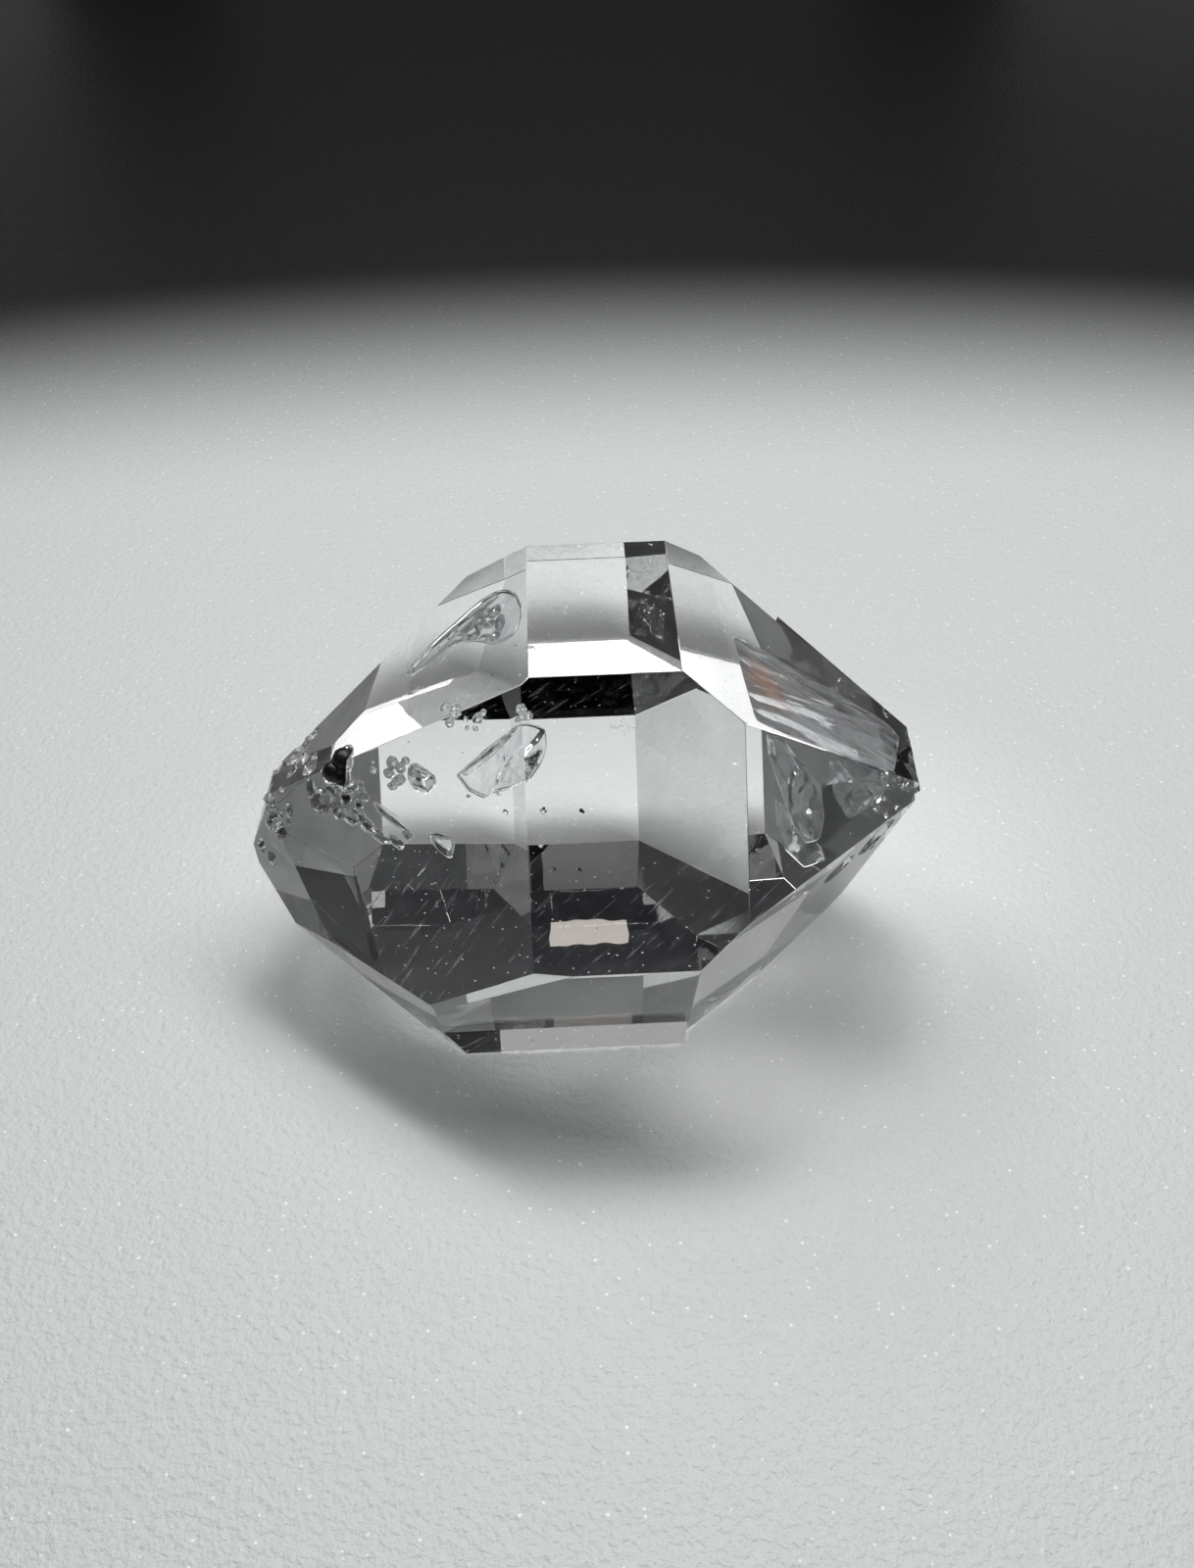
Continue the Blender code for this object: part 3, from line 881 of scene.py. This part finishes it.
def carbon_material(settings):
    """Black carbon: nearly black, with a faint brown, and a sheen that comes and goes with its grain."""
    shader = Shader("black_carbon_grain")
    at = shader.place()
    grain = shader.noise(at, 5200.0, 5.0, 0.6)
    patches = shader.noise(at, 1500.0, 3.0).step(0.45, 0.75)
    surface = shader.surface(
        Base_Color=shader.blend(patches, (*settings.black, 1.0), (*settings.brown, 1.0)),
        Roughness=grain * 0.35 + 0.18,
        Specular_IOR_Level=0.3,
        Normal=shader.bump(grain, 0.6, 0.00003),
    )
    return shader.finish(surface)


def drift_of_dust(settings, material):
    """Fine black grains strewn along a line, by geometry nodes, made a plain mesh."""
    given = {
        "Number": ("NodeSocketInt", settings.grains),
        "Start": ("NodeSocketVector", DUST_DRIFT[0]),
        "End": ("NodeSocketVector", DUST_DRIFT[1]),
        "Spread": ("NodeSocketVector", DUST_SPREAD),
        "Smallest": ("NodeSocketFloat", DUST_SIZES[0]),
        "Largest": ("NodeSocketFloat", DUST_SIZES[1]),
        "Seed": ("NodeSocketInt", settings.seed),
        "Material": ("NodeSocketMaterial", material),
    }
    group = bpy.data.node_groups.new("drift_of_dust", "GeometryNodeTree")
    group.is_modifier = True
    group.interface.new_socket("Grains", in_out="OUTPUT", socket_type="NodeSocketGeometry")
    keys = {}
    for name, (kind, _) in given.items():
        keys[name] = group.interface.new_socket(name, in_out="INPUT", socket_type=kind).identifier
    tree = Tree(group)
    inputs = group.nodes.new("NodeGroupInput")
    size = {name: Value(tree, inputs.outputs[name]) for name in given}

    def vector(operation, *values, **named):
        return tree.add("ShaderNodeVectorMath", {"operation": operation}, *values, **named)

    def chance(kind, low, high, more):
        """A random number or vector for each grain; more makes its seed its own."""
        first, out = {"FLOAT_VECTOR": (0, 0), "FLOAT": (2, 1)}[kind]
        sockets = {first: low, first + 1: high, "Seed": size["Seed"] + more}
        return tree.add("FunctionNodeRandomValue", {"data_type": kind}, out=out, numbered=sockets)

    run = vector("SCALE", vector("SUBTRACT", size["End"], size["Start"]), Scale=chance("FLOAT", 0.0, 1.0, 1))
    aside = chance("FLOAT_VECTOR", vector("SCALE", size["Spread"], Scale=-1.0), size["Spread"], 2)
    place = vector("ADD", vector("ADD", size["Start"], run), aside)
    grains = tree.add(
        "GeometryNodeInstanceOnPoints",
        None,
        tree.add("GeometryNodePoints", None, size["Number"], place),
        Instance=tree.add("GeometryNodeMeshIcoSphere", None, Radius=1.0, Subdivisions=2),
        Rotation=chance("FLOAT_VECTOR", (0.0, 0.0, 0.0), (6.28, 6.28, 6.28), 3),
        Scale=chance("FLOAT_VECTOR", (0.6, 0.6, 0.6), (1.0, 1.0, 1.0), 4),
    )
    radius = chance("FLOAT", size["Smallest"], size["Largest"], 5)
    sized = tree.add("GeometryNodeScaleInstances", None, grains, Scale=radius)
    real = tree.add("GeometryNodeRealizeInstances", None, sized)
    black = tree.add("GeometryNodeSetMaterial", None, real, Material=size["Material"])
    group.links.new(black.socket, group.nodes.new("NodeGroupOutput").inputs[0])

    dust = new_object("carbon_dust", bmesh.new())
    step = dust.modifiers.new("drift_of_dust", "NODES")
    step.node_group = group
    for name, (_, value) in given.items():
        step[keys[name]] = value
    made = evaluated_mesh(dust)
    dust.modifiers.remove(step)
    dust.data = made
    if not made.polygons:
        raise RuntimeError("the drift of dust has no grains")
    return dust


def floor_material(settings):
    """The pale floor: fine grain, painted glints, a painted glow where the crystal gathers light, and dark
    outside the picture.
    """
    shader = Shader("pale_floor")
    at = shader.place()
    across = shader.add("ShaderNodeSeparateXYZ", None, at, out="X")
    away = shader.add("ShaderNodeSeparateXYZ", None, at, out="Y")
    reach = away + across * 0.02 + across * across * 2.5
    near = (1.0 - reach.step(*FLOOR_BACK)) * away.step(*FLOOR_FRONT)
    colour = shader.blend(near, FLOOR_DARK, (*settings.floor_colour, 1.0))
    # Painted glints: small white specks mixed into the floor's colour.
    painted_glints = shader.specks(at, 2400.0, (0.10, 0.20), (0.78, 0.80, near * 0.8))
    # Painted light: an emission glow where the crystal gathers light on the floor.
    painted_glow = 0.0
    for (x, y), (wide, deep), fade, strength in PAINTED_FLOOR_GLOW:
        out_x, out_y = (across - x) / wide, (away - y) / deep
        distance = (out_x * out_x + out_y * out_y).math("SQRT")
        painted_glow = (1.0 - distance.step(fade, 1.0)) * strength + painted_glow
    surface = shader.surface(
        Base_Color=shader.blend(painted_glints, colour, PAINTED_GLINT_COLOUR),
        Roughness=0.38,
        Specular_IOR_Level=0.35,
        Emission_Color=shader.blend(painted_glow, (0.0, 0.0, 0.0, 1.0), (1.0, 1.0, 1.0, 1.0)),
        Emission_Strength=1.0,
        Normal=shader.bump(shader.noise(at, 2800.0, 3.0, 0.6), 0.8, 0.00016),
    )
    return shader.finish(surface)


def area_light(name, place, size, power, aim=LIGHT_AIM, colour=(1.0, 1.0, 1.0)):
    """A soft rectangular light; places and sizes are in millimetres, and the power is in watts."""
    data = bpy.data.lights.new(name, "AREA")
    data.shape = "RECTANGLE"
    data.size, data.size_y = size[0] * MM, size[1] * MM
    data.energy = power
    data.color = colour
    lamp = bpy.data.objects.new(name, data)
    lamp.location = Vector(place) * MM
    lamp.rotation_euler = (Vector(aim) * MM - lamp.location).to_track_quat("-Z", "Y").to_euler()
    bpy.context.scene.collection.objects.link(lamp)


def set_lights(settings):
    """The soft lights, the dim cards, the small warm lamp and the dark room round them."""
    for name, lift, turn, share in LIGHTS:
        up, side = math.radians(lift), math.radians(turn)
        place = (
            LIGHT_DISTANCE * math.cos(up) * math.sin(side),
            LIGHT_DISTANCE * math.cos(up) * math.cos(side),
            LIGHT_DISTANCE * math.sin(up) + LIGHT_AIM[2],
        )
        area_light(name, place, LIGHT_SIZE, settings.light * share)
    area_light("lamp_small", LAMP_PLACE, LAMP_SIZE, settings.light * LAMP_SHARE, LAMP_AIM, LAMP_COLOUR)
    for name, place, size, share in CARDS:
        area_light(name, place, size, settings.light * share)
    world = bpy.data.worlds.new("dark_room")
    world.use_nodes = True
    world.node_tree.nodes["Background"].inputs["Color"].default_value = ROOM_COLOUR
    bpy.context.scene.world = world
    bpy.context.scene.view_settings.view_transform = "Standard"


def place_camera():
    """The camera at the photograph's angle."""
    turn = Matrix.Rotation(math.radians(VIEW_YAW), 3, "Z")
    lift = math.radians(VIEW_ELEVATION)
    roll = math.radians(VIEW_ROLL)
    forward = turn @ Vector((0.0, math.cos(lift), -math.sin(lift)))
    level = turn @ Vector((1.0, 0.0, 0.0))
    upright = turn @ Vector((0.0, math.sin(lift), math.cos(lift)))
    right = math.cos(roll) * level + math.sin(roll) * upright
    upward = -math.sin(roll) * level + math.cos(roll) * upright
    place = (Vector(VIEW_TARGET) - forward * VIEW_DISTANCE) * MM
    axes = Matrix((right, upward, -forward)).transposed()
    data = bpy.data.cameras.new("camera")
    data.sensor_fit = "VERTICAL"
    data.sensor_height = 36.0
    data.sensor_width = 36.0
    data.lens = VIEW_LENS
    data.clip_start = 0.001
    data.clip_end = 5.0
    camera = bpy.data.objects.new("camera", data)
    camera.matrix_world = Matrix.Translation(place) @ axes.to_4x4()
    bpy.context.scene.collection.objects.link(camera)
    bpy.context.scene.camera = camera


class CrystalSettings(bpy.types.PropertyGroup):
    worn_edge: FloatProperty(
        name="Worn edge", description="Width of the worn edges in millimetres", default=0.025, min=0.005
    )
    seed: IntProperty(
        name="Seed", description="Changes where the small etched pits of the left end lie", default=11
    )
    ior: FloatProperty(
        name="Refraction", description="Refractive index of quartz", default=1.544, min=1.0, max=2.5
    )
    absorption: FloatProperty(
        name="Absorption", description="Light lost per metre of quartz", default=2.0, min=0.0
    )
    dust: FloatProperty(
        name="Dust", description="How thick the film of dust under the crystal is", default=0.03, min=0.0
    )
    haze: FloatProperty(
        name="Haze",
        description="How hazy the etched faces at the back are",
        default=0.8,
        min=0.0,
        subtype="FACTOR",
    )
    frost: FloatProperty(
        name="Frost",
        description="How white the faces of the inner crack are",
        default=0.55,
        min=0.0,
        subtype="FACTOR",
    )
    tint: FloatVectorProperty(
        name="Tint", description="Colour of the light let through", default=(0.93, 0.97, 1.0), subtype="COLOR"
    )


class CarbonSettings(bpy.types.PropertyGroup):
    grains: IntProperty(
        name="Grains", description="How many grains the drift of fine dust has", default=30, min=1
    )
    seed: IntProperty(name="Seed", description="Changes where the grains of dust lie", default=5)
    black: FloatVectorProperty(
        name="Black", description="Main colour of the carbon", subtype="COLOR", default=(0.006, 0.006, 0.006)
    )
    brown: FloatVectorProperty(
        name="Brown", description="Colour of its patches", subtype="COLOR", default=(0.020, 0.015, 0.011)
    )


class StageSettings(bpy.types.PropertyGroup):
    floor_colour: FloatVectorProperty(
        name="Floor", description="Colour of the pale floor", subtype="COLOR", default=(0.62, 0.64, 0.63)
    )
    light: FloatProperty(
        name="Light", description="Power of the lights in watts", default=1.0, min=0.0, unit="POWER"
    )


class QUARTZ_OT_crystal(bpy.types.Operator):
    """Build the clear crystal with its etched end, broken tip and inner bubbles"""

    bl_idname = "quartz.crystal"
    bl_label = "Crystal"

    def execute(self, context):
        settings = context.scene.quartz_crystal
        faces = crystal_faces()
        shape = cleaved_block(faces.values())
        for face in shape.faces:
            for name, slot in HAZED.items():
                if face.normal.dot(faces[name][0]) > 0.9999:
                    face.material_index = slot
        bmesh.ops.bevel(
            shape,
            geom=shape.edges[:],
            offset=settings.worn_edge,
            segments=2,
            profile=0.5,
            affect="EDGES",
            clamp_overlap=True,
        )
        crystal = new_object("quartz_crystal", shape)
        etched = {"cover": hazy(0.3), "roughness": 0.06, "waves": 3e-5, "grain": 2600.0}
        # In the order of the crystal's material slots.
        for material in (
            quartz_material("clear_quartz_faces", settings, dusty),
            quartz_material("clear_quartz_inside", settings),
            quartz_material("etched_quartz", settings, **etched),
            quartz_material("cracked_quartz", settings, frosty(1.0)),
            quartz_material("broken_quartz", settings, frosty(0.8)),
            quartz_material("hazy_quartz", settings, hazy(1.0)),
            quartz_material("dull_quartz", settings, hazy(0.26)),
        ):
            crystal.data.materials.append(material)
        grown = [growth_ledge(faces), growth_layer(faces)]
        for number, (centre, radii, turn, rough) in enumerate(END_LUMPS):
            grown.append(lump(centre, radii, turn, rough, 12, 3, 600 + number))
        boolean(crystal, grown, "UNION")
        dice = random.Random(settings.seed)
        hollows = [*end_pits(faces, dice), *tip_chips(faces, dice), *lump_pit(), *inner_hollows()]
        boolean(crystal, hollows, "DIFFERENCE")
        crystal.data.transform(TO_MODEL)
        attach(crystal, "root")
        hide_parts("crystal")
        return {"FINISHED"}


class QUARTZ_OT_carbon(bpy.types.Operator):
    """Build the black carbon: the lump in its open pit, the specks and the drift of fine dust"""

    bl_idname = "quartz.carbon"
    bl_label = "Carbon"

    def execute(self, context):
        settings = context.scene.quartz_carbon
        material = carbon_material(settings)
        balls = []
        for number, (centre, radius) in enumerate(LUMP_BALLS):
            balls.append(lump(centre, (radius * 0.98,) * 3, rough=0.10, seed=700 + number))
        black = new_object("carbon_lump", balls[0])
        boolean(black, balls[1:], "UNION")
        black.data.transform(TO_MODEL)
        black.data.materials.append(material)
        for polygon in black.data.polygons:
            polygon.use_smooth = True
        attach(black, "root")
        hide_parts("carbon_inclusion")

        grains = bmesh.new()
        for number, (centre, radius) in enumerate(SPECKS):
            radii = (radius, radius * 0.8, radius * 0.9)
            shape = lump(centre, radii, (0, 30 * number, 0), 0.25, detail=2, seed=800 + number)
            grain = bpy.data.meshes.new("grain")
            shape.to_mesh(grain)
            shape.free()
            grains.from_mesh(grain)
            bpy.data.meshes.remove(grain)
        specks = new_object("carbon_specks", grains)
        specks.data.transform(TO_MODEL)
        specks.data.materials.append(material)
        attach(specks, "root")

        dust = drift_of_dust(settings, material)
        dust.data.transform(TO_MODEL)
        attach(dust, "root")
        return {"FINISHED"}


class QUARTZ_OT_stage(bpy.types.Operator):
    """Lay the pale floor, set the lights and place the camera"""

    bl_idname = "quartz.stage"
    bl_label = "Stage"

    def execute(self, context):
        settings = context.scene.quartz_stage
        shape = bmesh.new()
        below = Matrix.Translation((0.0, 0.0, -FLOOR_GAP))
        bmesh.ops.create_grid(shape, x_segments=1, y_segments=1, size=FLOOR_REACH, matrix=below)
        floor = new_object("floor", shape)
        floor.data.materials.append(floor_material(settings))
        set_lights(settings)
        place_camera()
        return {"FINISHED"}


class QUARTZ_PT_panel(bpy.types.Panel):
    """Lists the pieces and their settings"""

    bl_idname = "QUARTZ_PT_panel"
    bl_label = "Herkimer diamond quartz"
    bl_space_type = "VIEW_3D"
    bl_region_type = "UI"
    bl_category = "Quartz"

    def draw(self, context):
        for settings, operator in (
            (context.scene.quartz_crystal, QUARTZ_OT_crystal),
            (context.scene.quartz_carbon, QUARTZ_OT_carbon),
            (context.scene.quartz_stage, QUARTZ_OT_stage),
        ):
            box = self.layout.box()
            for key in settings.__annotations__:
                box.prop(settings, key)
            box.operator(operator.bl_idname)


CLASSES = (
    CrystalSettings,
    CarbonSettings,
    StageSettings,
    QUARTZ_OT_crystal,
    QUARTZ_OT_carbon,
    QUARTZ_OT_stage,
    QUARTZ_PT_panel,
)


def register():
    for item in CLASSES:
        bpy.utils.register_class(item)
    bpy.types.Scene.quartz_crystal = PointerProperty(type=CrystalSettings)
    bpy.types.Scene.quartz_carbon = PointerProperty(type=CarbonSettings)
    bpy.types.Scene.quartz_stage = PointerProperty(type=StageSettings)


def unregister():
    del bpy.types.Scene.quartz_crystal
    del bpy.types.Scene.quartz_carbon
    del bpy.types.Scene.quartz_stage
    for item in reversed(CLASSES):
        bpy.utils.unregister_class(item)


def main():
    register()
    bpy.ops.quartz.crystal()
    bpy.ops.quartz.carbon()
    bpy.ops.quartz.stage()


if __name__ == "__main__":
    main()
